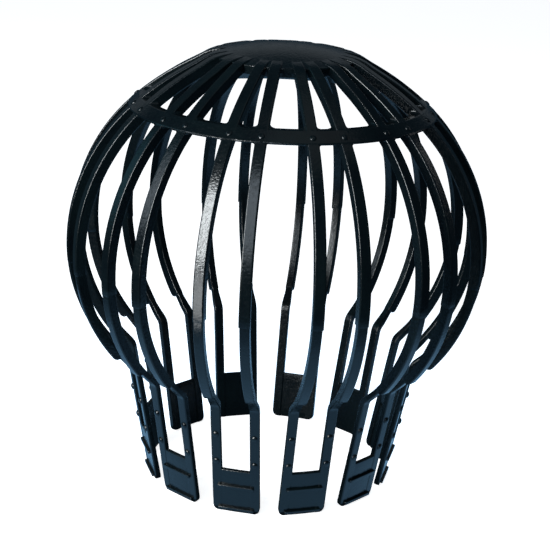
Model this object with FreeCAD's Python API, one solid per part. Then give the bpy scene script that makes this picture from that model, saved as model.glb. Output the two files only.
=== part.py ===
import FreeCAD, Part
import math
import os

os.makedirs("parts", exist_ok=True)

# Downpipe leaf filter, one moulded piece: a ball of ribs on twelve spring tabs
# that push into the mouth of a downpipe. Millimetres, +Z up, the tabs stand on z = 0.

# Overall form
tab_count = 12
belt_radius = 80.0
belt_height = 93.0
shoulder_arc = 71.6
crown_arc = 110.0
belly_arc = 64.0

# Ribs, two to each tab
rib_depth = 4.0
upper_rib_width = 4.2
parting_step = 0.25
pair_half_angle = 5.9
nose_to_bend = 7.9
rib_nose_cut = 1.6

# Spring tabs
leg_offset = 7.2
leg_foot_radius = 47.4
leg_taper = 10.8
leg_thickness = 2.2
leg_bend = 2.5
window_sill = 18.5
sill_slope = 1.2
plate_thickness = 1.6
plate_recess = 0.4
corner_cut = 1.8

# Grip bars across the outside of a tab
bar_length = 14.0
bar_height = 1.2
bar_stand = 0.5
bar_foot_heights = (1.0, 10.8)

# Ring round the upper ball
ring_above_belt = 51.5
ring_height = 4.3
ring_stand = 0.2
ring_lean = 4.0
ring_depth = 4.0

# Cap
cap_radius = 27.0
cap_rise = 3.7
cap_stand = 0.2
rim_height = 4.0
rim_lap = 2.0

# Values that follow from the ones above
lower_rib_width = upper_rib_width - 2.0 * parting_step
shoulder_x = belt_radius - shoulder_arc
crown_start = math.asin((ring_above_belt + ring_height / 2.0) / shoulder_arc)
crown_x = shoulder_x - (crown_arc - shoulder_arc) * math.cos(crown_start)
crown_z = belt_height - (crown_arc - shoulder_arc) * math.sin(crown_start)
belt_x = belt_radius * math.cos(math.radians(pair_half_angle))
belt_y = belt_radius * math.sin(math.radians(pair_half_angle))
taper = math.radians(leg_taper)

Y_AXIS = FreeCAD.Vector(0, 1, 0)
Z_AXIS = FreeCAD.Vector(0, 0, 1)
ORIGIN = FreeCAD.Vector(0, 0, 0)


def vec(x, y, z):
    return FreeCAD.Vector(x, y, z)


def polygon_face(points):
    return Part.Face(Part.makePolygon(points + points[:1]))


def about(centre_x, centre_z, radius, degrees):
    """Point of the upright plane y = 0 on a circle, the angle counted up from +X."""
    angle = math.radians(degrees)
    return vec(centre_x + radius * math.cos(angle), 0, centre_z + radius * math.sin(angle))


def arc(centre_x, centre_z, radius, start, end):
    middle = about(centre_x, centre_z, radius, (start + end) / 2.0)
    first = about(centre_x, centre_z, radius, start)
    last = about(centre_x, centre_z, radius, end)
    return Part.Arc(first, middle, last).toShape()


def line(first, last):
    return Part.LineSegment(first, last).toShape()


def slab(outline, width):
    """Outline in the upright plane y = 0, given equal thickness on both sides of it."""
    face = outline.copy()
    face.translate(vec(0, -width / 2.0, 0))
    return face.extrude(vec(0, width, 0))


def upper_rib():
    """Shoulder arc from the parting line to the ring and flatter crown arc up into the rim of the cap,
    in a plane through the axis. The inside of the crown has two flats."""
    shoulder_in = shoulder_arc - rib_depth
    crown_in = crown_arc - rib_depth
    start = math.degrees(crown_start)
    top = math.degrees(math.acos((cap_radius - rim_lap - crown_x) / crown_arc))
    top_in = about(crown_x, crown_z, crown_in, top)
    middle_in = about(crown_x, crown_z, crown_in, (start + top) / 2.0)
    edges = [
        arc(shoulder_x, belt_height, shoulder_arc, 0.0, start),
        arc(crown_x, crown_z, crown_arc, start, top),
        line(about(crown_x, crown_z, crown_arc, top), top_in),
        line(top_in, middle_in),
        line(middle_in, about(crown_x, crown_z, crown_in, start)),
        arc(shoulder_x, belt_height, shoulder_in, start, 0.0),
        line(vec(belt_radius - rib_depth, 0, belt_height), vec(belt_radius, 0, belt_height)),
    ]
    return slab(Part.Face(Part.Wire(edges)), upper_rib_width)


def leg_plane():
    """Heading and distance from the axis of the upright plane that holds a lower rib and its leg."""
    leg_x = leg_foot_radius + leg_thickness
    heading = math.atan2(belt_y - leg_offset, belt_x - leg_x)
    distance = (leg_offset - leg_x * math.tan(heading)) * math.cos(heading)
    return math.degrees(heading), distance


def lower_rib(belly_x):
    """Belly arc from the parting line to the blunt nose, the thinner strap below it, the bend at the
    neck and the leg down to z = 0."""
    strap_in = belly_arc - rib_depth
    strap_out = strap_in + leg_thickness
    outward_x = math.cos(taper)
    outward_z = -math.sin(taper)
    # The bend's circle touches the leg's outer line and, from outside, the strap's outer circle.
    base_x = leg_foot_radius + leg_bend * outward_x - belly_x
    base_z = leg_bend * outward_z - belt_height
    half_b = base_z * outward_x - base_x * outward_z
    c = base_x ** 2 + base_z ** 2 - (strap_out + leg_bend) ** 2
    length = -half_b - math.sqrt(half_b ** 2 - c)
    bend_x = belly_x + base_x - length * outward_z
    bend_z = belt_height + base_z + length * outward_x
    strap_angle = math.degrees(math.atan2(bend_z - belt_height, bend_x - belly_x))
    nose_angle = strap_angle + math.degrees(nose_to_bend / belly_arc)
    nose_start = nose_angle + math.degrees(rib_nose_cut / belly_arc)
    leg_angle = 180.0 - leg_taper
    bend_angle = strap_angle + 180.0
    bend_in = leg_bend + leg_thickness
    corners = [
        about(belly_x, belt_height, belly_arc, nose_start),
        about(belly_x, belt_height, belly_arc - rib_nose_cut, nose_angle),
        about(belly_x, belt_height, strap_out, nose_angle),
        about(bend_x, bend_z, leg_bend, bend_angle),
        about(bend_x, bend_z, leg_bend, leg_angle),
        vec(leg_foot_radius, 0, 0),
        vec(leg_foot_radius - leg_thickness / outward_x, 0, 0),
        about(bend_x, bend_z, bend_in, leg_angle),
        about(bend_x, bend_z, bend_in, bend_angle),
    ]
    edges = [arc(belly_x, belt_height, belly_arc, 0.0, nose_start)]
    for first, last in zip(corners, corners[1:]):
        edges.append(line(first, last))
    edges.append(arc(belly_x, belt_height, strap_in, strap_angle, 0.0))
    edges.append(line(vec(belly_x + strap_in, 0, belt_height), vec(belly_x + belly_arc, 0, belt_height)))
    return slab(Part.Face(Part.Wire(edges)), lower_rib_width)


def corner(side):
    """Wedge outside the cut bottom corner of a leg, on the outer side of its tab."""
    edge = side * lower_rib_width / 2.0
    inner = edge - 2.0 * side * corner_cut
    outer = edge + side * corner_cut
    reach = leg_thickness + plate_thickness
    wedge = polygon_face([
        vec(leg_foot_radius - reach, inner, -corner_cut),
        vec(leg_foot_radius - reach, outer, -corner_cut),
        vec(leg_foot_radius - reach, outer, 2.0 * corner_cut),
    ])
    return wedge.extrude(vec(2.0 * reach, 0, 0))


def half_pair(side):
    """One rib from cap to foot."""
    heading, distance = leg_plane()
    belly_x = math.sqrt(belt_radius ** 2 - distance ** 2) - belly_arc
    lower = lower_rib(belly_x).cut(corner(side))
    lower.translate(vec(0, side * distance, 0))
    lower.rotate(ORIGIN, Z_AXIS, side * heading)
    upper = upper_rib()
    upper.rotate(ORIGIN, Z_AXIS, side * pair_half_angle)
    return upper.fuse(lower)


def leg_face_x(height):
    """Distance of a leg's outer face from the axis, in the plane of the leg."""
    return leg_foot_radius + height * math.tan(taper)


def tab_plate():
    """Plate between the legs below the window, set back from them, its sill falling to the inside."""
    sill_in = window_sill - sill_slope
    inside = plate_recess + plate_thickness
    outline = polygon_face([
        vec(leg_face_x(0.0) - plate_recess, 0, 0.0),
        vec(leg_face_x(window_sill) - plate_recess, 0, window_sill),
        vec(leg_face_x(sill_in) - inside, 0, sill_in),
        vec(leg_face_x(0.0) - inside, 0, 0.0),
    ])
    return slab(outline, 2.0 * leg_offset)


def grip_bar(foot):
    """Ridge across the plate and part of both legs."""
    crest = foot + bar_height / 2.0
    top = foot + bar_height
    root = plate_recess + bar_stand
    outline = polygon_face([
        vec(leg_face_x(foot) - root, 0, foot),
        vec(leg_face_x(crest) + bar_stand, 0, crest),
        vec(leg_face_x(top) - root, 0, top),
    ])
    return slab(outline, bar_length)


def sector():
    """Two ribs, their legs and the plate of one tab, centred on +X."""
    bars = [grip_bar(foot) for foot in bar_foot_heights]
    return half_pair(1).fuse([half_pair(-1), tab_plate()] + bars)


def ring():
    """Band that leaves the ribs at its upper edge, its outer face steeper than they are."""
    low = belt_height + ring_above_belt
    high = low + ring_height
    low_radius = shoulder_x + math.sqrt(shoulder_arc ** 2 - ring_above_belt ** 2) + ring_stand
    high_radius = low_radius - ring_lean
    section = polygon_face([
        vec(low_radius, 0, low),
        vec(high_radius, 0, high),
        vec(high_radius - ring_depth, 0, high),
        vec(low_radius - ring_depth, 0, low),
    ])
    return section.revolve(ORIGIN, Z_AXIS, 360)


def cap():
    """Shallow dome, flat underneath, whose rim takes the ends of the ribs."""
    edge_z = crown_z + math.sqrt(crown_arc ** 2 - (cap_radius - crown_x) ** 2) + cap_stand
    cap_arc = (cap_radius ** 2 + cap_rise ** 2) / (2.0 * cap_rise)
    # The sphere's poles lie to the sides, so that the dome has none.
    ball = Part.makeSphere(cap_arc)
    ball.rotate(ORIGIN, Y_AXIS, 90.0)
    ball.translate(vec(0, 0, edge_z + cap_rise - cap_arc))
    disc = Part.makeCylinder(cap_radius, rim_height + cap_rise, vec(0, 0, edge_z - rim_height))
    return disc.common(ball)


def leaf_filter():
    one = sector()
    pitch = 360.0 / tab_count
    sectors = []
    for index in range(tab_count):
        copy = one.copy()
        copy.rotate(ORIGIN, Z_AXIS, -90.0 + pitch * (index + 0.5))
        sectors.append(copy)
    return ring().fuse([cap()] + sectors).removeSplitter()


body = leaf_filter()
body.Solids[0].exportStep("parts/leaf_filter.step")
box = body.BoundBox
print("solids", len(body.Solids), "valid", body.isValid(), "volume", round(body.Volume))
print("box", round(box.XLength, 2), round(box.YLength, 2), round(box.ZLength, 2), round(box.ZMin, 3))
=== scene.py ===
"""Downpipe leaf filter: a ball of moulded ribs on twelve spring tabs, in near-black plastic.

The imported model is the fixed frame. One closed skin, worked out here from nearly the same driving
sizes, stands for its single moulded piece and adds what the construction leaves out: rounded edges,
the draft of the ribs, fillets and knuckles at the ring, strips on the cap, curved necks, round tab
corners and pips. The drop of the parting line, the cap's rise, stand and rim, the ring's lean, the
height and stand of the grip bars and the bend at the neck differ a little from the model's.
"""

import logging
import math
from dataclasses import dataclass
from enum import Enum
from typing import Any, Dict, List, Optional, Sequence, Tuple, Union

import bmesh
import bpy
import numpy as np
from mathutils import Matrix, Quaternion, Vector

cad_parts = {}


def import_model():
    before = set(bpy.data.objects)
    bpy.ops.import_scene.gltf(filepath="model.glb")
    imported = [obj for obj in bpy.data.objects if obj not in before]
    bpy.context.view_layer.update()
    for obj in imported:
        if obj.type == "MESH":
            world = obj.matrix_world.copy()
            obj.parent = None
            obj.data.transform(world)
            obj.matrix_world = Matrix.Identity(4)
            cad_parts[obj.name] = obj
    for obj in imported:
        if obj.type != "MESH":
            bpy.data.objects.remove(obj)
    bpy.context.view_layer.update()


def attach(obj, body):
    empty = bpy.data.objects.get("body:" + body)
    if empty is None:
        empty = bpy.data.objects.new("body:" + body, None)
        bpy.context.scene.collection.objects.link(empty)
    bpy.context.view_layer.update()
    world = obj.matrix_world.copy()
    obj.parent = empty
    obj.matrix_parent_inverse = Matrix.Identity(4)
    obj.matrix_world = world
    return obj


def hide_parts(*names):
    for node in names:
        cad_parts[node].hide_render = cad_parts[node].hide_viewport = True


LOG = logging.getLogger("leaf_filter")
MM = 0.001
NODE = "leaf_filter"
BODY = "root"

Array = np.ndarray
Triple = Tuple[float, float, float]

ACROSS = np.array([0.0, 1.0, 0.0])
UPRIGHT = np.array([0.0, 0.0, 1.0])
IN_PLANE = [0, 2]
QUARTER_TURN = math.pi / 2.0
FULL_TURN = 2.0 * math.pi

# Points on a rounded end, and the most of a side that the arc and the margin of an outline take
END_POINTS = 5
ARC_SHARE = 0.4
MARGIN_SHARE = 0.08

# Numbers of a Mix node's sockets when it mixes colours
MIX_FACTOR = 0
MIX_FIRST = 6
MIX_SECOND = 7
MIX_RESULT = 2


class Side(Enum):
    """The two ribs of a pair, left and right of the middle of their tab."""

    LEFT = -1.0
    RIGHT = 1.0


class RingEdge(Enum):
    """The two edges of the ring, with the way that leads off each of them."""

    UPPER = 1
    LOWER = -1


@dataclass(frozen=True)
class FilterSizes:
    """Driving sizes of the filter in millimetres and degrees."""

    tab_count: int = 12
    belt_radius: float = 80.0
    belt_height: float = 93.0
    shoulder_arc: float = 71.6
    crown_arc: float = 110.0
    belly_arc: float = 64.0
    rib_depth: float = 4.0
    rib_width: float = 4.2
    rib_draft: float = 0.35
    parting_step: float = 0.25
    parting_drop: float = 7.5
    pair_half_angle: float = 5.9
    leg_offset: float = 7.2
    foot_radius: float = 47.4
    leg_taper: float = 10.8
    leg_thickness: float = 2.2
    ring_above_belt: float = 51.5
    ring_height: float = 4.3
    cap_radius: float = 27.0
    cap_rise: float = 3.9
    cap_stand: float = -0.2
    edge_round: float = 0.45

    @property
    def shoulder_x(self) -> float:
        """Distance of the shoulder arc's centre from the axis."""
        return self.belt_radius - self.shoulder_arc

    @property
    def lower_width(self) -> float:
        """Width of a rib below the parting line."""
        return self.rib_width - 2.0 * self.parting_step

    @property
    def swing(self) -> float:
        """Turn of a rib from the middle of its pair in radians."""
        return math.radians(self.pair_half_angle)

    @property
    def crown_start(self) -> float:
        """Angle of the shoulder arc at the middle of the ring, where the flatter crown arc goes on."""
        return math.asin((self.ring_above_belt + self.ring_height / 2.0) / self.shoulder_arc)

    @property
    def crown_centre(self) -> Tuple[float, float]:
        """Distance from the axis and height of the crown arc's centre."""
        back = self.crown_arc - self.shoulder_arc
        return (self.shoulder_x - back * math.cos(self.crown_start),
                self.belt_height - back * math.sin(self.crown_start))

    @property
    def cap_edge(self) -> float:
        """Height of the edge of the cap."""
        x, z = self.crown_centre
        return z + math.sqrt(self.crown_arc ** 2 - (self.cap_radius - x) ** 2) + self.cap_stand

    @property
    def cap_arc(self) -> float:
        """Radius of the cap's dome."""
        return (self.cap_radius ** 2 + self.cap_rise ** 2) / (2.0 * self.cap_rise)

    @property
    def taper(self) -> float:
        """Lean of a leg in radians."""
        return math.radians(self.leg_taper)

    @property
    def leg_outward(self) -> Array:
        """Direction out of a leg's face in the upright plane y = 0."""
        return np.array([math.cos(self.taper), 0.0, -math.sin(self.taper)])

    @property
    def leg_up(self) -> Array:
        """Direction up a leg in the upright plane y = 0."""
        return np.array([math.sin(self.taper), 0.0, math.cos(self.taper)])

    def leg_face(self, height: float) -> float:
        """Distance of a leg's outer face from the axis, in the plane of the leg."""
        return self.foot_radius + height * math.tan(self.taper)

    def dome(self, radius: Array) -> Array:
        """Height of the cap's dome at each distance from the axis."""
        top = self.cap_edge + self.cap_rise
        return top - self.cap_arc + np.sqrt(self.cap_arc ** 2 - radius ** 2)

    def tab_headings(self) -> Array:
        """Headings of the tabs' middles round the axis in radians."""
        pitch = FULL_TURN / self.tab_count
        return -QUARTER_TURN + pitch * (np.arange(self.tab_count) + 0.5)


def smooth_step(value: Array) -> Array:
    """Blend from 0 to 1 with level ends: 3v^2 - 2v^3 of the value held between 0 and 1."""
    held = np.clip(value, 0.0, 1.0)
    return held * held * (3.0 - 2.0 * held)


def stations(length: float, first_round: float, last_round: float, steps: int) -> Array:
    """Places along a length, closer together where the two ends are rounded.

    Args:
        length: Whole length.
        first_round: Length of the rounding at the start, or 0.
        last_round: Length of the rounding at the end, or 0.
        steps: Number of equal steps between the two roundings.

    Returns:
        Rising distances from 0 to the length: r(1 - cos a) in each rounding, a from 0 to 90 degrees.
    """
    turn = np.linspace(0.0, QUARTER_TURN, END_POINTS)
    head = np.zeros(1)
    if first_round > 0.0:
        head = first_round * (1.0 - np.cos(turn))
    tail = np.full(1, length)
    if last_round > 0.0:
        tail = length - last_round * (1.0 - np.cos(turn[::-1]))
    middle = np.linspace(head[-1], tail[0], steps + 1)[1:-1]
    return np.concatenate([head, middle, tail])


def end_inset(place: Array, rounding: float) -> Array:
    """Depth a quarter circle takes off at each distance from the end: r - sqrt(r^2 - (r - d)^2)."""
    short = np.clip(rounding - place, 0.0, rounding)
    return rounding - np.sqrt(np.maximum(rounding ** 2 - short ** 2, 0.0))


def both_ends_inset(place: Array, length: float, rounding: float) -> Array:
    """The same depth where both ends of a length are rounded."""
    return np.maximum(end_inset(place, rounding), end_inset(length - place, rounding))


def rounded_outline(corners: Array, radius: float, segments: int = 3, margin: float = 0.14) -> Array:
    """Convex outlines with each corner swapped for an arc that touches both of its sides.

    Args:
        corners: Corner points with shape (..., corners, 2), in the same turning direction.
        radius: Arc radius.
        segments: Chords to each arc.
        margin: Distance from each end of an arc to one more point on the straight side, which keeps
            the shading of that side flat.

    Returns:
        Outline points with shape (..., corners * (segments + 3), 2): centre plus the start arm turned
        by equal parts of the corner's turn, between the two points of the margins.
    """
    before = np.roll(corners, 1, axis=-2) - corners
    after = np.roll(corners, -1, axis=-2) - corners
    before_length = np.linalg.norm(before, axis=-1, keepdims=True)
    after_length = np.linalg.norm(after, axis=-1, keepdims=True)
    before = before / before_length
    after = after / after_length
    cosine = np.clip(np.sum(before * after, axis=-1, keepdims=True), -1.0, 1.0)
    half = np.arccos(cosine) / 2.0
    shortest = np.minimum(before_length, after_length)
    size = np.minimum(radius, ARC_SHARE * shortest * np.tan(half))
    rest = np.minimum(margin, MARGIN_SHARE * shortest)
    middle = before + after
    middle = middle / np.linalg.norm(middle, axis=-1, keepdims=True)
    centre = corners + middle * size / np.sin(half)
    arm = corners + before * size / np.tan(half) - centre
    sign = np.sign(before[..., :1] * after[..., 1:] - before[..., 1:] * after[..., :1])
    turn = -sign * (math.pi - 2.0 * half)
    angle = turn * np.linspace(0.0, 1.0, segments + 1)
    swung = np.stack([
        arm[..., :1] * np.cos(angle) - arm[..., 1:] * np.sin(angle),
        arm[..., :1] * np.sin(angle) + arm[..., 1:] * np.cos(angle),
    ], axis=-1)
    arcs = centre[..., None, :] + swung
    first = arcs[..., :1, :] + (before * rest)[..., None, :]
    last = arcs[..., -1:, :] + (after * rest)[..., None, :]
    points = np.concatenate([first, arcs, last], axis=-2)
    return points.reshape(points.shape[:-3] + (-1, 2))


def round_angles(count: int) -> Array:
    """Angles at equal steps round a full turn, the first of them 0."""
    return np.linspace(0.0, FULL_TURN, count + 1)[:-1]


def round_spokes(count: int) -> Array:
    """Level unit directions (cos a, sin a, 0) at equal steps round the axis."""
    angle = round_angles(count)
    return np.stack([np.cos(angle), np.sin(angle), np.zeros_like(angle)], axis=-1)


def flat_path(run: Array, height: Array) -> Array:
    """Points in the upright plane y = 0."""
    return np.stack([run, np.zeros_like(run), height], axis=-1)


def rectangle(top: Array, bottom: Array, right: Array, left: Array, draft: float = 0.0) -> Array:
    """Four-cornered outlines, one for each entry of the arrays.

    Args:
        top: Places of the outer side along the outline's first axis.
        bottom: Places of the inner side along that axis.
        right: Places of one flank along the outline's second axis.
        left: Places of the other flank along that axis.
        draft: Distance by which each flank draws in towards the inner side.

    Returns:
        Corners with shape (entries, 4, 2).
    """
    return np.stack([
        np.stack([top, right], axis=-1),
        np.stack([top, left], axis=-1),
        np.stack([bottom, left + draft], axis=-1),
        np.stack([bottom, right - draft], axis=-1),
    ], axis=-2)


@dataclass
class Shell:
    """Closed surface: points in millimetres, four-sided faces and end faces of equal length."""

    points: Array
    quads: Array
    ends: Array

    @classmethod
    def from_grid(cls, grid: Array, wrap: bool = False) -> "Shell":
        """Skin over rings of points, each ring joined to the next.

        Args:
            grid: Points with shape (rings, points in a ring, 3).
            wrap: Joins the last ring to the first; otherwise both end rings are closed by a face.

        Returns:
            The shell with its faces turned outwards.
        """
        rings, around = grid.shape[:2]
        spans = rings if wrap else rings - 1
        ring = np.arange(spans)[:, None] * around
        above = (np.arange(1, spans + 1) % rings)[:, None] * around
        place = np.arange(around)[None, :]
        beside = (place + 1) % around
        quads = np.stack([ring + place, ring + beside, above + beside, above + place], axis=-1)
        ends = np.empty((0, around), dtype=int)
        if not wrap:
            last = (rings - 1) * around
            ends = np.stack([np.arange(around)[::-1], last + np.arange(around)])
        return cls(grid.reshape(-1, 3), quads.reshape(-1, 4), ends).outward()

    def volume(self) -> float:
        """A sixth of the sum of a . (b x c) over all triangles, with the faces split as fans.

        Returns:
            Cubic millimetres, negative where the faces point inwards.
        """
        a, b, c, d = (self.points[self.quads[:, k]] for k in range(4))
        total = np.sum(a * np.cross(b, c)) + np.sum(a * np.cross(c, d))
        if len(self.ends):
            ring = self.points[self.ends]
            hub = np.broadcast_to(ring[:, :1], ring.shape)
            total += np.sum(hub * np.cross(ring, np.roll(ring, -1, axis=1)))
        return float(total) / 6.0

    def outward(self) -> "Shell":
        """Turns the faces over where they point inwards.

        Returns:
            This shell, or a copy with its faces the other way round.
        """
        if self.volume() >= 0.0:
            return self
        return Shell(self.points, self.quads[:, ::-1], self.ends[:, ::-1])

    def moved(self, heading: float, shift: Sequence[float] = (0.0, 0.0, 0.0)) -> "Shell":
        """Shifts the shell and then turns it about the axis.

        Args:
            heading: Turn in radians.
            shift: Way in millimetres.

        Returns:
            The moved copy.
        """
        c, s = math.cos(heading), math.sin(heading)
        turn = np.array([[c, -s, 0.0], [s, c, 0.0], [0.0, 0.0, 1.0]])
        return Shell((self.points + np.asarray(shift)) @ turn.T, self.quads, self.ends)

    def mirrored(self) -> "Shell":
        """Copy mirrored in the plane y = 0."""
        flip = np.array([1.0, -1.0, 1.0])
        return Shell(self.points * flip, self.quads[:, ::-1], self.ends[:, ::-1])


def joined(shells: Sequence[Shell]) -> Shell:
    """Puts shells of one kind that do not touch each other into one.

    Args:
        shells: Shells whose end faces have the same number of points.

    Returns:
        One shell with the points and faces of all.
    """
    offsets = np.cumsum([0] + [len(shell.points) for shell in shells])[:-1]
    return Shell(
        np.concatenate([shell.points for shell in shells]),
        np.concatenate([shell.quads + offset for shell, offset in zip(shells, offsets)]),
        np.concatenate([shell.ends + offset for shell, offset in zip(shells, offsets)]),
    )


def sweep(path: Array, outward: Array, across: Array, outline: Array, wrap: bool = False) -> Shell:
    """Carries an outline along a path: path + outward * n + across * b for each outline point (n, b).

    Args:
        path: Path points with shape (m, 3).
        outward: Unit directions of the outline's first axis, one for each path point or one for all.
        across: Unit directions of the outline's second axis, one for each path point or one for all.
        outline: Points with shape (m, k, 2) or (k, 2).
        wrap: Closes the path on itself.

    Returns:
        The closed shell.
    """
    shape = np.broadcast_to(outline, (len(path),) + outline.shape[-2:])
    lift = np.broadcast_to(outward, path.shape)[:, None, :]
    side = np.broadcast_to(across, path.shape)[:, None, :]
    return Shell.from_grid(path[:, None, :] + lift * shape[..., :1] + side * shape[..., 1:], wrap)


@dataclass(frozen=True)
class Pip:
    """Low dome on a short neck that is sunk in the surface it stands on, in millimetres."""

    radius: float
    stand: float
    sunk: float = 0.8
    top: float = 0.47
    rings: int = 6
    sides: int = 16

    def shell(self, centre: Array, outward: Array, across: Array) -> Shell:
        """Rings with radius r cos a at height h sin a, above one ring at the foot of the neck.

        The angle a runs from 0 to the share of a half turn that the field top gives.

        Args:
            centre: Point of the surface under the pip.
            outward: Unit direction out of the surface.
            across: Unit direction along the surface.

        Returns:
            The closed shell, its top ring small and flat.
        """
        lift = np.linspace(0.0, self.top * math.pi, self.rings)
        radius = np.concatenate([[self.radius], self.radius * np.cos(lift)])
        height = np.concatenate([[-self.sunk], self.stand * np.sin(lift)])
        angle = round_angles(self.sides)[:, None]
        spoke = np.cos(angle) * across + np.sin(angle) * np.cross(outward, across)
        grid = centre + radius[:, None, None] * spoke[None] + height[:, None, None] * outward
        return Shell.from_grid(grid)


@dataclass
class UpperCage:
    """Ribs above the parting line, from below the belt up over the rim of the cap, in millimetres."""

    sizes: FilterSizes
    belt_round: float = 0.3
    strip_end: float = 17.0
    strip_lift: float = 0.5
    strip_sunk: float = 0.3
    blend_start: float = 34.0
    dome_reach: float = 10.0
    steps: int = 40

    def path(self) -> Tuple[Array, Array]:
        """Outer line of a rib: belly, shoulder and crown arcs, eased onto the dome as a strip.

        Each arc is its centre plus r(cos a, sin a). A smooth step from the start of the blend to the
        edge of the cap carries the height over to the strip, which sinks into the dome at its end.

        Returns:
            Points in the plane y = 0 and the outward direction at each of them.
        """
        s = self.sizes
        centre_x, centre_z = s.crown_centre
        top = math.acos((self.strip_end - centre_x) / s.crown_arc)
        shoulder = s.shoulder_arc * s.crown_start
        length = s.parting_drop + shoulder + s.crown_arc * (top - s.crown_start)
        place = stations(length, self.belt_round, 0.0, self.steps) - s.parting_drop
        arc = np.where(place < 0.0, s.belly_arc, s.shoulder_arc)
        low = place / arc
        high = s.crown_start + (place - shoulder) / s.crown_arc
        below = place < shoulder
        run = np.where(below, s.belt_radius - arc * (1.0 - np.cos(low)),
                       centre_x + s.crown_arc * np.cos(high))
        height = np.where(below, s.belt_height + arc * np.sin(low),
                          centre_z + s.crown_arc * np.sin(high))
        blend = smooth_step((self.blend_start - run) / (self.blend_start - s.cap_radius))
        fade = smooth_step((run - self.strip_end) / (s.cap_radius - self.strip_end))
        dome = s.dome(np.minimum(run, s.cap_radius + self.dome_reach))
        strip = dome - self.strip_sunk + (self.strip_sunk + self.strip_lift) * fade
        height = height + (strip - height) * blend
        slope_run = np.gradient(run, place)
        slope_height = np.gradient(height, place)
        size = np.hypot(slope_run, slope_height)
        return flat_path(run, height), flat_path(slope_height / size, -slope_run / size)

    def rib(self) -> Shell:
        """Drafted section carried along the outer line, its lower end rounded.

        Returns:
            One rib in the plane y = 0.
        """
        s = self.sizes
        line, outward = self.path()
        pieces = np.linalg.norm(np.diff(line, axis=0), axis=1)
        inset = end_inset(np.concatenate([[0.0], np.cumsum(pieces)]), self.belt_round)
        half = s.rib_width / 2.0 - inset
        corners = rectangle(-inset, -s.rib_depth + inset, half, -half, s.rib_draft)
        return sweep(line, outward, ACROSS, rounded_outline(corners, s.edge_round))

    def build(self) -> List[Shell]:
        """Copies the rib round the axis.

        Returns:
            The ribs of one side of each pair, then those of the other.
        """
        one = self.rib()
        s = self.sizes
        return [joined([one.moved(turn + side.value * s.swing) for turn in s.tab_headings()])
                for side in Side]


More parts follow.
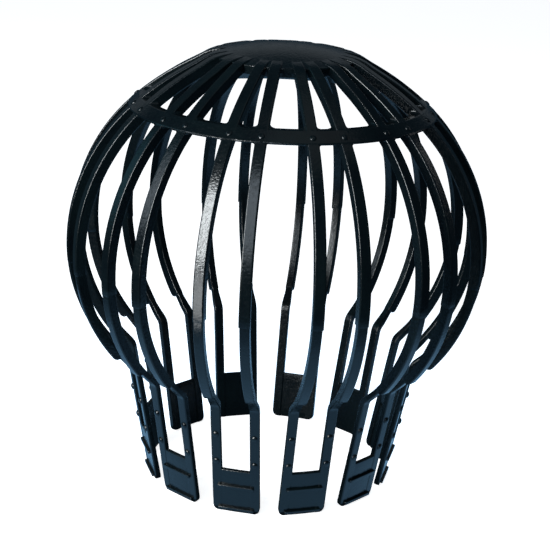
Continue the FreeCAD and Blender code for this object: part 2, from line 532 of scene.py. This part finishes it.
@dataclass
class LowerCage:
    """Ribs below the parting line with their noses, straps, legs and pips, in millimetres."""

    sizes: FilterSizes
    face_step: float = 0.14
    overlap: float = 1.2
    nose_to_bend: float = 7.9
    nose_round: float = 2.0
    nose_edge: float = 0.4
    rib_steps: int = 28
    leg_bend: float = 3.4
    leg_draft: float = 0.12
    leg_edge: float = 0.4
    leg_steps: int = 10
    bend_points: int = 9
    neck_share: float = 0.3
    strap_points: int = 10
    strap_overlap: float = 4.0
    strap_taper: float = 0.42
    strap_drop: float = 0.2
    strap_thinning: float = 0.4
    corner_round: float = 2.2
    foot_round: float = 0.3
    pip_heights: Tuple[float, ...] = (22.0, 33.6)
    pip: Pip = Pip(radius=1.3, stand=0.8)

    def plane(self) -> Tuple[float, float]:
        """Upright plane that holds a rib at the belt and its leg at the foot.

        Returns:
            The plane's heading in radians and its distance from the axis.
        """
        s = self.sizes
        leg_x = s.foot_radius + s.leg_thickness
        rise = s.belt_radius * math.sin(s.swing) - s.leg_offset
        heading = math.atan2(rise, s.belt_radius * math.cos(s.swing) - leg_x)
        return heading, (s.leg_offset - leg_x * math.tan(heading)) * math.cos(heading)

    @property
    def belly_x(self) -> float:
        """Place of the belly arc's centre in the plane of the rib."""
        return math.sqrt(self.sizes.belt_radius ** 2 - self.plane()[1] ** 2) - self.sizes.belly_arc

    @property
    def strap_arc(self) -> float:
        """Radius of the strap's outer face about the belly arc's centre."""
        return self.sizes.belly_arc - self.sizes.rib_depth + self.sizes.leg_thickness

    def belly(self, radius: float, angle: Array) -> Array:
        """Points on a circle about the belly arc's centre."""
        return flat_path(self.belly_x + radius * np.cos(angle),
                         self.sizes.belt_height + radius * np.sin(angle))

    def bend(self) -> Tuple[Array, float, float]:
        """Bend circle that touches the strap's outer circle from outside and the leg's straight line.

        Its centre slides along the leg, one bend radius out from it, to where it is the sum of both
        radii away from the belly arc's centre: the lower root of a quadratic in the leg's length.

        Returns:
            Its centre from the belly arc's centre, the length of the straight leg and the angle of
            the strap where the bend starts.
        """
        s = self.sizes
        normal, up = s.leg_outward[IN_PLANE], s.leg_up[IN_PLANE]
        foot = np.array([s.foot_radius, 0.0])
        base = foot + self.leg_bend * normal - np.array([self.belly_x, s.belt_height])
        half_b = float(base @ up)
        touching = (self.strap_arc + self.leg_bend) ** 2
        reach = -half_b - math.sqrt(half_b ** 2 - float(base @ base) + touching)
        centre = base + reach * up
        return centre, reach, math.atan2(centre[1], centre[0])

    def rib(self) -> Shell:
        """Rib from inside the parting line to the nose, its outer face dipping in a quarter circle.

        Returns:
            One rib in the plane y = 0.
        """
        s = self.sizes
        start = self.overlap - s.parting_drop
        length = -s.belly_arc * self.bend()[2] - self.nose_to_bend + start
        place = stations(length, 0.0, self.nose_round, self.rib_steps)
        angle = (start - place) / s.belly_arc
        outward = flat_path(np.cos(angle), np.sin(angle))
        nose = end_inset(length - place, self.nose_round)
        small = end_inset(length - place, self.nose_edge)
        half = s.lower_width / 2.0 - small
        top = -self.face_step - nose
        corners = rectangle(top, -s.rib_depth + small, half, -half, s.rib_draft)
        outline = rounded_outline(corners, s.edge_round)
        return sweep(self.belly(s.belly_arc, angle), outward, ACROSS, outline)

    def leg_line(self) -> Tuple[Array, Array]:
        """Strap that follows the belly, bend that turns it into the leg's line, and leg down to z = 0.

        Returns:
            Points of the outer line in the plane y = 0 and the outward direction at each of them.
        """
        s = self.sizes
        up = s.leg_up
        bend, reach, meet = self.bend()
        strap_start = meet + (self.nose_to_bend + self.strap_overlap) / s.belly_arc
        strap_angle = np.linspace(strap_start, meet, self.strap_points)
        turn = np.linspace(meet + math.pi, math.pi - s.taper, self.bend_points)
        bend_at = bend + np.array([self.belly_x, s.belt_height])
        down = reach - stations(reach, 0.0, self.corner_round, self.leg_steps)
        strap_line = self.belly(self.strap_arc, strap_angle)
        bend_line = flat_path(bend_at[0] + self.leg_bend * np.cos(turn),
                              bend_at[1] + self.leg_bend * np.sin(turn))
        leg_line = flat_path(s.foot_radius + up[0] * down, up[2] * down)
        line = np.concatenate([strap_line[:-1], bend_line, leg_line[1:]])
        outward = np.concatenate([
            flat_path(np.cos(strap_angle), np.sin(strap_angle))[:-1],
            flat_path(-np.cos(turn), -np.sin(turn)),
            np.broadcast_to(s.leg_outward, (len(down) - 1, 3)),
        ])
        return line, outward

    def leg(self) -> Shell:
        """Strap that narrows up to the nose and ends inside the rib, bend, and leg.

        The lead is the way up the strap from the bend. It is negative on the upper leg and set to 0
        below the neck's share of the belt's height. The outer side of the foot is a quarter circle.

        Returns:
            One strap and leg in the plane y = 0.
        """
        s = self.sizes
        line, outward = self.leg_line()
        run, height = line[:, 0], line[:, 2]
        corner = end_inset(height, self.corner_round)
        small = end_inset(height, self.foot_round)
        angle = np.arctan2(height - s.belt_height, run - self.belly_x)
        lead = s.belly_arc * (angle - self.bend()[2])
        lead = np.where(height > self.neck_share * s.belt_height, lead, 0.0)
        buried = smooth_step((lead - self.nose_to_bend) / self.strap_overlap)
        half = s.lower_width / 2.0 - self.strap_taper * smooth_step(lead / self.nose_to_bend)
        right = half - np.maximum(corner, small)
        top = -small - self.strap_drop * buried
        bottom = -s.leg_thickness + small + self.strap_thinning * buried
        corners = rectangle(top, bottom, right, -half, self.leg_draft)
        return sweep(line, outward, ACROSS, rounded_outline(corners, self.leg_edge))

    def pips(self) -> List[Shell]:
        """Domed pips on the outer face of a leg.

        Returns:
            The pips of one leg in the plane y = 0.
        """
        s = self.sizes
        centres = [np.array([s.leg_face(height), 0.0, height]) for height in self.pip_heights]
        return [self.pip.shell(centre, s.leg_outward, ACROSS) for centre in centres]

    def build(self) -> List[Shell]:
        """Sets rib, leg and pips in their plane, mirrors them to a pair and copies it round the axis.

        Returns:
            All lower ribs, all legs and all pips.
        """
        heading, distance = self.plane()
        turns = self.sizes.tab_headings()
        groups = []
        for kind in ([self.rib()], [self.leg()], self.pips()):
            half = [shell.moved(heading, (0.0, distance, 0.0)) for shell in kind]
            pair = half + [shell.mirrored() for shell in half]
            groups.append(joined([shell.moved(turn) for turn in turns for shell in pair]))
        return groups


@dataclass
class TabPlates:
    """Plates between the legs, their sills and the grip bars across them, in millimetres."""

    sizes: FilterSizes
    sill: float = 18.5
    thickness: float = 1.6
    recess: float = 0.4
    crown: float = 0.22
    edge: float = 0.4
    plate_steps: int = 6
    bow_points: int = 13
    bar_length: float = 14.0
    bar_height: float = 1.3
    bar_stand: float = 0.8
    bar_sunk: float = 1.4
    bar_round: float = 0.22
    bar_end: float = 0.5
    bar_pinch: float = 0.5
    bar_steps: int = 3
    bar_heights: Tuple[float, ...] = (1.6, 11.4)

    def plate(self) -> Shell:
        """Plate with a bowed face, n = crown (1 - (b / half)^2), its upper and lower edges rounded.

        Returns:
            One plate, centred on the plane y = 0.
        """
        s = self.sizes
        length = self.sill / math.cos(s.taper)
        place = stations(length, self.edge, self.edge, self.plate_steps)
        inset = both_ends_inset(place, length, self.edge)
        half = s.leg_offset
        b = np.linspace(half, -half, self.bow_points)
        bow = self.crown * (1.0 - (b / half) ** 2)
        top = bow[None, :] - inset[:, None]
        bottom = bow[None, ::-1] - self.thickness + inset[:, None]
        side = np.broadcast_to(b, top.shape)
        outline = np.concatenate([
            np.stack([top, side], axis=-1),
            np.stack([bottom, side[:, ::-1]], axis=-1),
        ], axis=1)
        line = flat_path(s.foot_radius + place * math.sin(s.taper), place * math.cos(s.taper))
        line = line - self.recess * np.array([math.cos(s.taper), 0.0, 0.0])
        return sweep(line, s.leg_outward, ACROSS, outline)

    def bar(self, height: float) -> Shell:
        """Rounded bar along y with rounded ends, its back sunk in the plate.

        What the rounding takes off the front at an end, times the pinch, also comes off above and below.

        Args:
            height: Height of the bar's middle.

        Returns:
            One bar, centred on the plane y = 0.
        """
        s = self.sizes
        place = stations(self.bar_length, self.bar_end, self.bar_end, self.bar_steps)
        inset = both_ends_inset(place, self.bar_length, self.bar_end)
        zero = np.zeros_like(place)
        line = np.stack([zero + s.leg_face(height), place - self.bar_length / 2.0, zero + height],
                        axis=-1)
        half = self.bar_height / 2.0 - self.bar_pinch * inset
        corners = rectangle(self.bar_stand - inset, zero - self.bar_sunk, half, -half)
        return sweep(line, s.leg_outward, s.leg_up, rounded_outline(corners, self.bar_round))

    def build(self) -> List[Shell]:
        """Copies the plate and its bars round the axis.

        Returns:
            All plates and all bars.
        """
        bars = [self.bar(height) for height in self.bar_heights]
        turns = self.sizes.tab_headings()
        return [joined([shell.moved(turn) for turn in turns for shell in kind])
                for kind in ([self.plate()], bars)]


@dataclass
class CrownRing:
    """Ring round the upper ball, with the fillets and knuckles at the ribs, in millimetres."""

    sizes: FilterSizes
    stand: float = 0.2
    lean: float = 5.0
    depth: float = 4.0
    edge: float = 0.5
    sides: int = 240
    upper_fillet: float = 1.7
    lower_fillet: float = 0.6
    fillet_sunk: float = 0.6
    fillet_lap: float = 0.12
    fillet_inset: float = 0.4
    fillet_back: float = 0.3
    fillet_points: int = 7
    knuckle_lift: float = 0.2
    knuckle_dome: Pip = Pip(radius=1.2, stand=0.5)

    def section(self) -> Array:
        """Section of the band, lower outer corner first, then up and round.

        Returns:
            Four corners (r, z).
        """
        s = self.sizes
        low = s.belt_height + s.ring_above_belt
        out = s.shoulder_x + math.sqrt(s.shoulder_arc ** 2 - s.ring_above_belt ** 2) + self.stand
        return np.array([
            [out, low],
            [out - self.lean, low + s.ring_height],
            [out - self.lean - self.depth, low + s.ring_height],
            [out - self.depth, low],
        ])

    def band(self) -> Shell:
        """Rounded section turned about the axis.

        Returns:
            The band, closed on itself.
        """
        spoke = round_spokes(self.sides)
        outline = rounded_outline(self.section(), self.edge)
        return sweep(np.zeros_like(spoke), spoke, UPRIGHT, outline, wrap=True)

    def corner_fillet(self, edge: RingEdge) -> Shell:
        """Filled corner between a rib's side and an edge of the ring, along the radius.

        The wall is f(1 - sin a) across the rib and f(1 - cos a) away from the ring, a from 0 to 90
        degrees, with its back sunk in both.

        Args:
            edge: Edge of the ring.

        Returns:
            The shell on the side of positive y.
        """
        s = self.sizes
        low, high, high_in, low_in = self.section()
        level, inner, size = low, low_in, self.lower_fillet
        if edge is RingEdge.UPPER:
            level, inner, size = high, high_in, self.upper_fillet
        turn = np.linspace(0.0, QUARTER_TURN, self.fillet_points)
        sunk = self.fillet_sunk
        across = np.concatenate([[-sunk, size], size * (1.0 - np.sin(turn)), [-sunk]])
        away = np.concatenate([[-sunk, -sunk], size * (1.0 - np.cos(turn)), [size]])
        y = s.rib_width / 2.0 - self.fillet_lap + across
        z = level[1] + edge.value * (away - self.fillet_lap)
        ball = s.shoulder_x + np.sqrt(s.shoulder_arc ** 2 - (z - s.belt_height) ** 2)
        front = ball - self.fillet_inset
        back = np.full_like(front, inner[0] + self.fillet_back)
        grid = np.stack(np.broadcast_arrays(np.stack([front, back]), y, z), axis=-1)
        return Shell.from_grid(grid)

    def knuckle(self) -> Shell:
        """Low dome on the ring's outer face where a rib crosses it.

        Returns:
            One knuckle in the plane y = 0.
        """
        low, high = self.section()[:2]
        middle = (low + high) / 2.0
        up_r, up_z = (high - low) / np.linalg.norm(high - low)
        centre = np.array([middle[0], 0.0, middle[1]])
        centre = centre + self.knuckle_lift * np.array([up_r, 0.0, up_z])
        return self.knuckle_dome.shell(centre, np.array([up_z, 0.0, -up_r]), ACROSS)

    def build(self) -> List[Shell]:
        """Copies the fillets and the knuckle to every rib.

        Returns:
            Band, all fillets and all knuckles.
        """
        s = self.sizes
        corners = [self.corner_fillet(edge) for edge in RingEdge]
        fillets = corners + [shell.mirrored() for shell in corners]
        turns = [turn + side.value * s.swing for turn in s.tab_headings() for side in Side]
        groups = [joined([shell.moved(turn) for turn in turns for shell in kind])
                  for kind in (fillets, [self.knuckle()])]
        return [self.band()] + groups


@dataclass
class Cap:
    """Shallow dome over the ends of the ribs, flat underneath, in millimetres."""

    sizes: FilterSizes
    rim_height: float = 3.6
    rim_draft: float = 1.2
    edge: float = 0.35
    hub: float = 0.4
    dome_points: int = 20
    edge_points: int = 6
    sides: int = 120

    def build(self) -> List[Shell]:
        """Dome, rounded rim, drafted wall and flat underside turned about the axis.

        Returns:
            One shell, closed by a small flat hub above and below.
        """
        s = self.sizes
        radius = np.linspace(self.hub, s.cap_radius - self.edge, self.dome_points)
        turn = np.linspace(0.0, QUARTER_TURN, self.edge_points)[1:]
        lower_turn = turn[:-1] - turn[0]
        rim_top = float(s.dome(np.array([s.cap_radius - self.edge]))[0])
        under = s.cap_edge - self.rim_height
        wall_foot = s.cap_radius - self.rim_draft
        run = np.concatenate([
            radius,
            s.cap_radius - self.edge + self.edge * np.sin(turn),
            wall_foot - self.edge * (1.0 - np.cos(lower_turn)),
            [wall_foot - self.edge, self.hub],
        ])
        height = np.concatenate([
            s.dome(radius),
            rim_top - self.edge * (1.0 - np.cos(turn)),
            under + self.edge - self.edge * np.sin(lower_turn),
            [under, under],
        ])
        spoke = round_spokes(self.sides)
        grid = run[:, None, None] * spoke[None] + height[:, None, None] * UPRIGHT
        return [Shell.from_grid(grid)]


class Socket:
    """Output socket of a node, with arithmetic that adds Math nodes to its graph."""

    def __init__(self, graph: "Graph", socket: bpy.types.NodeSocket) -> None:
        """Keeps the graph and the socket."""
        self.graph = graph
        self.socket = socket

    def _math(self, operation: str, first: Any, second: Any) -> "Socket":
        """Math node with two values."""
        return self.graph.node("ShaderNodeMath", {"operation": operation}, {0: first, 1: second})

    def __add__(self, other: Any) -> "Socket":
        """Sum of this value and another."""
        return self._math("ADD", self, other)

    def __radd__(self, other: Any) -> "Socket":
        """Sum of another value and this one."""
        return self._math("ADD", other, self)

    def __mul__(self, other: Any) -> "Socket":
        """Product of this value and another."""
        return self._math("MULTIPLY", self, other)

    def __rmul__(self, other: Any) -> "Socket":
        """Product of another value and this one."""
        return self._math("MULTIPLY", other, self)


class Graph:
    """Node graph of one material."""

    def __init__(self, material: bpy.types.Material) -> None:
        """Empties the material's node tree.

        Args:
            material: Material to fill.
        """
        material.use_nodes = True
        self.tree = material.node_tree
        self.tree.nodes.clear()

    def node(self, kind: str, settings: Optional[Dict[str, Any]] = None,
             inputs: Optional[Dict[Any, Any]] = None, output: Union[int, str] = 0) -> Socket:
        """Adds a node.

        Args:
            kind: Node type.
            settings: Properties, set before the inputs.
            inputs: Values or sockets by input name or number.
            output: Output to return.

        Returns:
            The chosen output.
        """
        made = self.tree.nodes.new(kind)
        for name, value in (settings or {}).items():
            setattr(made, name, value)
        for name, value in (inputs or {}).items():
            if isinstance(value, Socket):
                self.tree.links.new(value.socket, made.inputs[name])
            else:
                made.inputs[name].default_value = value
        return Socket(self, made.outputs[output])

    def surface(self, shader: Socket) -> None:
        """Joins a shader to the material's output."""
        out = self.tree.nodes.new("ShaderNodeOutputMaterial")
        self.tree.links.new(shader.socket, out.inputs["Surface"])

    def noise(self, place: Socket, scale: float, detail: float,
              stretch: Triple = (1.0, 1.0, 1.0)) -> Socket:
        """Noise between 0 and 1 on stretched coordinates."""
        spread = self.node("ShaderNodeVectorMath", {"operation": "MULTIPLY"}, {0: place, 1: stretch})
        return self.node("ShaderNodeTexNoise", {}, {
            "Vector": spread, "Scale": scale, "Detail": detail}, "Fac")

    def remap(self, value: Socket, span: Tuple[float, float], to: Tuple[float, float]) -> Socket:
        """Value carried from one range to another and held there."""
        return self.node("ShaderNodeMapRange", {"clamp": True}, {
            "Value": value, "From Min": span[0], "From Max": span[1],
            "To Min": to[0], "To Max": to[1]})

    def blend(self, factor: Socket, first: Triple, second: Triple) -> Socket:
        """Mix of two colours."""
        return self.node("ShaderNodeMix", {"data_type": "RGBA"}, {
            MIX_FACTOR: factor, MIX_FIRST: (*first, 1.0), MIX_SECOND: (*second, 1.0)}, MIX_RESULT)


@dataclass(frozen=True)
class MouldedPlastic:
    """Near-black satin polypropylene with a fine moulded grain and faint flow streaks."""

    name: str = "black_plastic_satin"
    deep: Triple = (0.0012, 0.0024, 0.0034)
    worn: Triple = (0.0025, 0.0056, 0.0064)
    roughness: Tuple[float, float] = (0.15, 0.27)
    refraction: float = 1.49
    grain: float = 0.65
    grain_depth: float = 0.00018
    cloud_scale: float = 60.0
    cloud_detail: float = 4.0
    grain_scale: float = 1250.0
    streak_scale: float = 1500.0
    streak_stretch: Triple = (0.3, 0.3, 1.0)
    fine_detail: float = 2.0
    mottle_cloud: float = 0.65
    mottle_grain: float = 0.35
    mottle_span: Tuple[float, float] = (0.35, 0.65)
    sheen_streak: float = 0.5
    sheen_cloud: float = 0.3
    sheen_grain: float = 0.2
    sheen_span: Tuple[float, float] = (0.36, 0.64)
    bump_grain: float = 0.6
    bump_streak: float = 0.4

    def build(self) -> bpy.types.Material:
        """Mottled base colour, roughness from streaks, clouds and grain, bump from grain and streaks.

        Returns:
            The material.
        """
        material = bpy.data.materials.new(self.name)
        graph = Graph(material)
        place = graph.node("ShaderNodeTexCoord", output="Object")
        cloud = graph.noise(place, self.cloud_scale, self.cloud_detail)
        grain = graph.noise(place, self.grain_scale, self.fine_detail)
        streak = graph.noise(place, self.streak_scale, self.fine_detail, self.streak_stretch)
        mottle = cloud * self.mottle_cloud + grain * self.mottle_grain
        colour = graph.blend(graph.remap(mottle, self.mottle_span, (0.0, 1.0)), self.deep, self.worn)
        sheen = streak * self.sheen_streak + cloud * self.sheen_cloud + grain * self.sheen_grain
        bump = graph.node("ShaderNodeBump", {}, {
            "Strength": self.grain, "Distance": self.grain_depth,
            "Height": grain * self.bump_grain + streak * self.bump_streak}, "Normal")
        shader = graph.node("ShaderNodeBsdfPrincipled", {}, {
            "Base Color": colour, "Roughness": graph.remap(sheen, self.sheen_span, self.roughness),
            "Normal": bump, "IOR": self.refraction}, "BSDF")
        graph.surface(shader)
        return material


@dataclass(frozen=True)
class PaleFloor:
    """Plain pale table top."""

    name: str = "pale_floor"
    colour: Triple = (0.86, 0.865, 0.87)
    roughness: float = 0.9
    glow_colour: Triple = (1.0, 1.0, 1.0)
    glow: float = 0.9

    def build(self) -> bpy.types.Material:
        """Matt surface that is a little brighter than the light on it.

        Returns:
            The material.
        """
        material = bpy.data.materials.new(self.name)
        graph = Graph(material)
        graph.surface(graph.node("ShaderNodeBsdfPrincipled", {}, {
            "Base Color": (*self.colour, 1.0), "Roughness": self.roughness,
            "Emission Color": (*self.glow_colour, 1.0), "Emission Strength": self.glow}, "BSDF"))
        return material


@dataclass(frozen=True)
class MirroredGlow:
    """Plain light of the table top in what the plastic mirrors."""

    name: str
    colour: Triple
    glow: float

    def build(self) -> bpy.types.Material:
        """Even glow.

        Returns:
            The material.
        """
        material = bpy.data.materials.new(self.name)
        graph = Graph(material)
        graph.surface(graph.node("ShaderNodeEmission", {}, {
            "Color": (*self.colour, 1.0), "Strength": self.glow}, "Emission"))
        return material


def placed(name: str, data: Any) -> bpy.types.Object:
    """Puts a new object at the origin of the scene.

    Args:
        name: Name of the object.
        data: Its mesh, light or camera.

    Returns:
        The object.
    """
    made = bpy.data.objects.new(name, data)
    bpy.context.scene.collection.objects.link(made)
    return made


@dataclass
class Moulding:
    """The whole filter as one skin."""

    sizes: FilterSizes = FilterSizes()
    finish: MouldedPlastic = MouldedPlastic()
    name: str = "leaf_filter_moulding"
    sharp_angle: float = 34.0
    sliver: float = 0.002

    def shells(self) -> List[Shell]:
        """Closed shells of all sub-assemblies, which overlap where they run into each other."""
        kinds = (UpperCage, LowerCage, TabPlates, CrownRing, Cap)
        return [shell for kind in kinds for shell in kind(self.sizes).build()]

    def solid(self, shell: Shell, name: str) -> bpy.types.Object:
        """Makes a shell an object in metres.

        Args:
            shell: Closed shell in millimetres.
            name: Name of the object and its mesh.

        Returns:
            The object.
        """
        faces = shell.quads.tolist() + shell.ends.tolist()
        mesh = bpy.data.meshes.new(name)
        mesh.from_pydata((shell.points * MM).tolist(), [], faces)
        return placed(name, mesh)

    def weld(self, bodies: Sequence[bpy.types.Object]) -> bpy.types.Mesh:
        """One skin round all bodies, with nothing left inside and its finest slivers drawn together.

        Args:
            bodies: Closed bodies that overlap; all are removed.

        Returns:
            The mesh of their union.
        """
        first = bodies[0]
        for body in bodies[1:]:
            union = first.modifiers.new(body.name, "BOOLEAN")
            union.operation = "UNION"
            union.solver = "MANIFOLD"
            union.object = body
        graph = bpy.context.evaluated_depsgraph_get()
        mesh = bpy.data.meshes.new_from_object(first.evaluated_get(graph))
        for body in bodies:
            bpy.data.objects.remove(body)
        skin = bmesh.new()
        skin.from_mesh(mesh)
        bmesh.ops.dissolve_degenerate(skin, dist=self.sliver * MM, edges=skin.edges)
        bmesh.ops.triangulate(skin, faces=skin.faces)
        skin.to_mesh(mesh)
        skin.free()
        return mesh

    def build(self) -> bpy.types.Object:
        """Welds all shells, smooth over their rounded edges.

        Returns:
            The piece, not dressed yet.
        """
        bodies = [self.solid(shell, "body_%02d" % number)
                  for number, shell in enumerate(self.shells())]
        mesh = self.weld(bodies)
        mesh.name = self.name
        mesh.materials.clear()
        mesh.shade_smooth()
        mesh.set_sharp_from_angle(angle=math.radians(self.sharp_angle))
        return placed(self.name, mesh)

    def dress(self, piece: bpy.types.Object) -> None:
        """Gives the piece its finish."""
        piece.data.materials.append(self.finish.build())


@dataclass(frozen=True)
class SoftBox:
    """Rectangular studio light aimed at a point, in metres, watts and degrees of spread."""

    name: str
    place: Triple
    target: Triple
    size: Tuple[float, float]
    power: float
    colour: Triple = (1.0, 1.0, 1.0)
    beam: float = 180.0

    def build(self) -> bpy.types.Object:
        """Area light that the camera doesn't see.

        Returns:
            The light object.
        """
        data = bpy.data.lights.new(self.name, "AREA")
        data.shape = "RECTANGLE"
        data.size, data.size_y = self.size
        data.energy = self.power
        data.color = self.colour
        data.spread = math.radians(self.beam)
        lamp = placed(self.name, data)
        aim = Vector(self.target) - Vector(self.place)
        lamp.location = self.place
        lamp.rotation_euler = aim.to_track_quat("-Z", "Y").to_euler()
        lamp.visible_camera = False
        return lamp


@dataclass(frozen=True)
class TableGlow:
    """Lit table top round the feet, seen only in what the plastic mirrors, in metres."""

    name: str
    inner: float = 0.049
    outer: float = 0.15
    height: float = 0.0005
    colour: Triple = (0.3, 0.63, 1.0)
    glow: float = 0.8
    sides: int = 64

    def build(self) -> bpy.types.Object:
        """Flat ring r(cos a, sin a) between two radii, facing up.

        Returns:
            The ring object.
        """
        spoke = round_spokes(self.sides)
        points = np.concatenate([spoke * self.inner, spoke * self.outer]) + self.height * UPRIGHT
        place = np.arange(self.sides)
        beside = (place + 1) % self.sides
        quads = np.stack([place, place + self.sides, beside + self.sides, beside], axis=-1)
        mesh = bpy.data.meshes.new(self.name)
        mesh.from_pydata(points.tolist(), [], quads.tolist())
        mesh.materials.append(MirroredGlow(self.name, self.colour, self.glow).build())
        ring = placed(self.name, mesh)
        ring.visible_camera = False
        ring.visible_shadow = False
        return ring


@dataclass(frozen=True)
class Studio:
    """Floor, soft light and the photo's camera, in metres and degrees."""

    floor_half: float = 6.0
    camera_at: Triple = (-0.0215, -0.5875, 0.2751)
    look_at: Triple = (0.0, 0.0, 0.078)
    roll: float = 2.61
    lens: float = 105.04
    lens_rise: float = 0.0041
    nearest: float = 0.01
    farthest: float = 50.0
    light_aim: Triple = (0.0, 0.0, 0.09)
    world: Triple = (0.018, 0.037, 0.055)
    tint: Triple = (0.93, 0.98, 1.0)
    slate: Triple = (0.76, 0.88, 1.0)
    teal: Triple = (0.2, 0.75, 1.0)

    def floor(self) -> bpy.types.Object:
        """Square floor at z = 0 that shows to the camera only.

        Returns:
            The floor object.
        """
        h = self.floor_half
        corners = [(-h, -h, 0.0), (h, -h, 0.0), (h, h, 0.0), (-h, h, 0.0)]
        mesh = bpy.data.meshes.new("floor")
        mesh.from_pydata(corners, [], [(0, 1, 2, 3)])
        mesh.materials.append(PaleFloor().build())
        floor = placed("floor", mesh)
        floor.visible_glossy = False
        floor.visible_diffuse = False
        return floor

    def camera(self) -> bpy.types.Object:
        """Camera at the photo's angle.

        Returns:
            The camera object.
        """
        data = bpy.data.cameras.new("photo_camera")
        data.lens = self.lens
        data.shift_y = self.lens_rise
        data.clip_start = self.nearest
        data.clip_end = self.farthest
        camera = placed("photo_camera", data)
        aim = (Vector(self.look_at) - Vector(self.camera_at)).to_track_quat("-Z", "Y")
        roll = Quaternion((0.0, 0.0, 1.0), math.radians(self.roll))
        camera.location = self.camera_at
        camera.rotation_euler = (aim @ roll).to_euler()
        bpy.context.scene.camera = camera
        return camera

    def lamps(self) -> List[SoftBox]:
        """Key from the left, dim cards on both sides of it, a low panel by the front rib, a strip at
        the right, and dim cards above and behind.

        Returns:
            The lights, not built yet.
        """
        aim = self.light_aim
        return [
            SoftBox("key_left", place=(-0.556, -0.561, 0.41), target=aim, size=(0.2, 0.62),
                    power=10.0, colour=self.tint),
            SoftBox("side_left", place=(-0.77, -0.122, 0.54), target=aim, size=(0.14, 0.66),
                    power=0.9, colour=self.slate),
            SoftBox("far_left", place=(-0.788, 0.211, 0.45), target=aim, size=(0.25, 0.62),
                    power=0.2, colour=self.teal),
            SoftBox("front_fill", place=(-0.196, -0.642, 0.526), target=aim, size=(0.18, 0.68),
                    power=1.25, colour=self.slate),
            SoftBox("low_left", place=(-0.042, -0.0894, 0.087), target=(-0.0285, -0.0747, 0.093),
                    size=(0.010, 0.031), power=0.0006, colour=self.tint, beam=56.0),
            SoftBox("rim_right", place=(0.75, 0.35, 0.35), target=aim, size=(0.04, 0.5), power=0.1),
            SoftBox("overhead", place=(0.15, -0.1, 0.9), target=aim, size=(0.5, 0.5), power=0.12),
            SoftBox("back", place=(0.0, 0.85, 0.46), target=aim, size=(1.2, 0.36),
                    power=0.16, colour=self.tint),
        ]

    def room(self) -> None:
        """Dark room round the table."""
        world = bpy.data.worlds.new("room")
        world.use_nodes = True
        world.node_tree.nodes["Background"].inputs["Color"].default_value = (*self.world, 1.0)
        bpy.context.scene.world = world

    def build(self) -> None:
        """Floor, table glow, lights, room and camera."""
        self.floor()
        TableGlow("table_near").build()
        TableGlow("table_far", inner=0.15, outer=0.21, glow=0.38).build()
        for lamp in self.lamps():
            lamp.build()
        self.room()
        self.camera()
        bpy.context.scene.view_settings.view_transform = "Standard"


def main() -> None:
    """Loads the frame, builds the moulding over it, dresses it and sets the studio."""
    logging.basicConfig(level=logging.INFO, format="%(message)s")
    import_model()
    moulding = Moulding()
    piece = moulding.build()
    moulding.dress(piece)
    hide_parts(NODE)
    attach(piece, BODY)
    vertices, faces = len(piece.data.vertices), len(piece.data.polygons)
    LOG.info("%s: %d vertices, %d faces", piece.name, vertices, faces)
    Studio().build()


if __name__ == "__main__":
    main()
